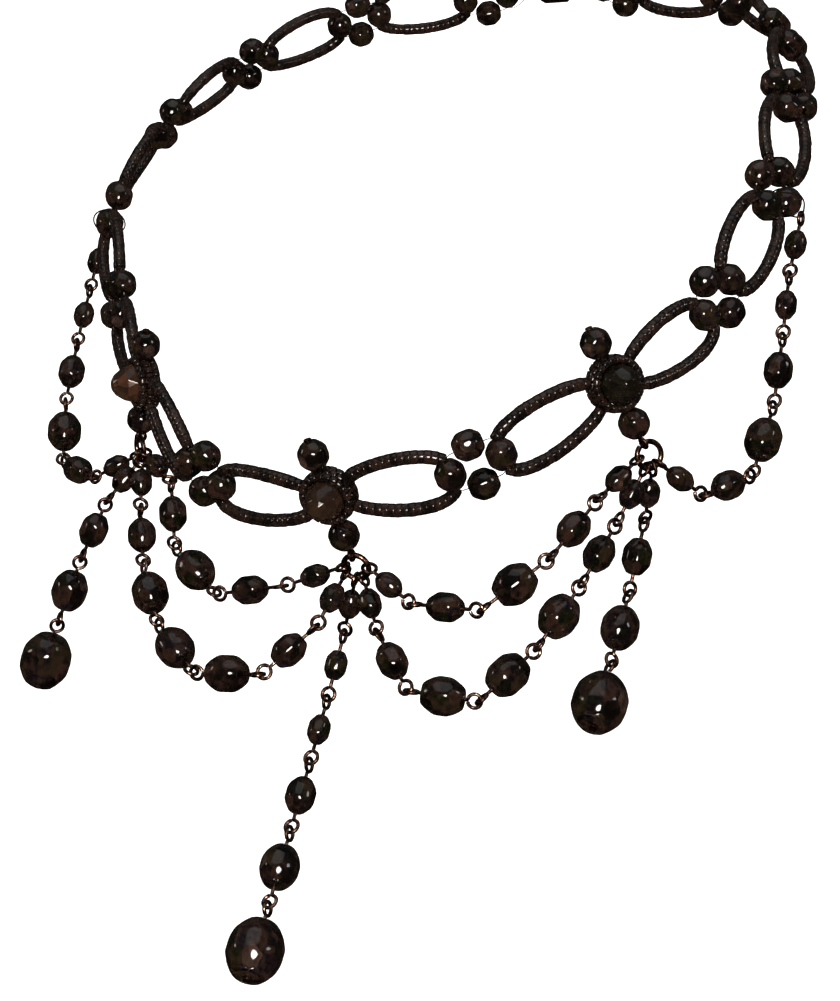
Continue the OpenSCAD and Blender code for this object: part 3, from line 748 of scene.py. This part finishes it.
# Studio: a pale paper sweep all round, a big soft light above, a small one by the camera for the sparkle and
# one at each side. Black glass mirrors what is round it, so the sweep itself stays out of the reflections.
SWEEP_FLOOR = -0.45
SWEEP_R = 2.4
SWEEP_COVE = 0.8
SWEEP_TOP = 3.0
COVE_STEPS = 8
SWEEP_SIDES = 96
bm = bmesh.new()
profile = [(0, SWEEP_FLOOR), (SWEEP_R - SWEEP_COVE, SWEEP_FLOOR)]
for i in range(1, COVE_STEPS + 1):
    a = math.pi / 2 * i / COVE_STEPS
    profile.append((SWEEP_R - SWEEP_COVE * (1 - math.sin(a)), SWEEP_FLOOR + SWEEP_COVE * (1 - math.cos(a))))
profile.append((SWEEP_R, SWEEP_TOP))
corners = [bm.verts.new((x, 0, z)) for x, z in profile]
for a, b in zip(corners, corners[1:]):
    bm.edges.new((a, b))
bmesh.ops.spin(bm, geom=bm.verts[:] + bm.edges[:], axis=Z, cent=(0, 0, 0), angle=2 * math.pi,
               steps=SWEEP_SIDES, use_merge=True)
bmesh.ops.remove_doubles(bm, verts=bm.verts, dist=1e-5)
for f in bm.faces:
    f.smooth = True
mesh = bpy.data.meshes.new("sweep")
bm.to_mesh(mesh)
bm.free()
sweep = bpy.data.objects.new("sweep", mesh)
bpy.context.scene.collection.objects.link(sweep)
sweep.visible_glossy = False

# White paper, matt, with a faint glow of its own that keeps it white where the lights don't reach
paper, tree = blank_material("white_paper_matt")
fibre = add_node(tree, "ShaderNodeTexNoise", inputs={
    "Vector": add_node(tree, "ShaderNodeTexCoord").outputs["Object"], "Scale": 30.0, "Detail": 2.0})
white = add_node(tree, "ShaderNodeValToRGB", inputs={"Fac": fibre.outputs["Fac"]},
                 stops=[(0.3, "#f2f2f1"), (0.7, "#f6f6f5")])
shader = add_node(tree, "ShaderNodeBsdfPrincipled", inputs={
    "Base Color": white.outputs["Color"], "Roughness": 0.9, "Emission Color": (1, 1, 1, 1),
    "Emission Strength": 0.62})
add_node(tree, "ShaderNodeOutputMaterial", inputs={"Surface": shader.outputs[0]})
mesh.materials.append(paper)
paper.cycles.emission_sampling = "NONE"  # the glow is even, so nothing is gained by aiming rays at it

# The room, which the glass and the wire mirror: dim and warm below, a little brighter and cooler above
world = bpy.data.worlds.new("studio")
world.use_nodes = True
world.node_tree.nodes.clear()
tree = world.node_tree
direction = add_node(tree, "ShaderNodeTexCoord").outputs["Generated"]
height = add_node(tree, "ShaderNodeSeparateXYZ", inputs={0: direction})
rise = add_node(tree, "ShaderNodeMapRange", inputs={"Value": height.outputs["Z"], "From Min": -1.0})
room = add_node(tree, "ShaderNodeValToRGB", inputs={"Fac": rise.outputs["Result"]}, stops=[
    (0.0, "#2a1c16"), (0.45, "#32271f"), (0.6, "#38332f"), (1.0, "#5a5b5d")])
glow = add_node(tree, "ShaderNodeBackground", inputs={"Color": room.outputs["Color"], "Strength": 0.65})
add_node(tree, "ShaderNodeOutputWorld", inputs={"Surface": glow.outputs[0]})
bpy.context.scene.world = world

AIM = Vector((0, -0.02, -0.03))  # a little below the middle of the front, in metres


def soft_light(name, at, size, watts, colour="#ffffff"):
    """A round soft light that looks at the choker and isn't seen itself."""
    light = bpy.data.lights.new(name, "AREA")
    light.shape = "DISK"
    light.size, light.energy = size, watts
    light.color = srgb(colour)[:3]
    lamp = bpy.data.objects.new(name, light)
    lamp.location = at
    lamp.rotation_euler = (AIM - Vector(at)).to_track_quat("-Z", "Y").to_euler()
    lamp.visible_camera = False
    bpy.context.scene.collection.objects.link(lamp)


soft_light("overhead", (0.1, -0.3, 1.1), 1.4, 2.4)
soft_light("sparkle", (0.15, -0.42, 0.03), 0.12, 1.5, "#fff6ec")
soft_light("side_left", (-0.7, -0.35, 0.25), 0.15, 0.3, "#fff1e4")
soft_light("side_right", (0.75, -0.05, 0.3), 0.15, 0.3)

# Camera at the photograph's place and angle
CAMERA_AT = Vector((142.6, -380.0, -1.4)) * MM
FORWARD = Vector((-0.3661, 0.9230, -0.1183)).normalized()
RIGHT_HAND = Vector((0.9305, 0.3649, -0.0322))
camera = bpy.data.cameras.new("camera")
camera.lens = 84.2
camera.clip_start, camera.clip_end = 0.01, 20
eye = bpy.data.objects.new("camera", camera)
right_hand = square_to(RIGHT_HAND, FORWARD)
eye.matrix_world = axes(right_hand, right_hand.cross(FORWARD), -FORWARD, CAMERA_AT)
bpy.context.scene.collection.objects.link(eye)
bpy.context.scene.camera = eye
bpy.context.scene.view_settings.view_transform = "Standard"
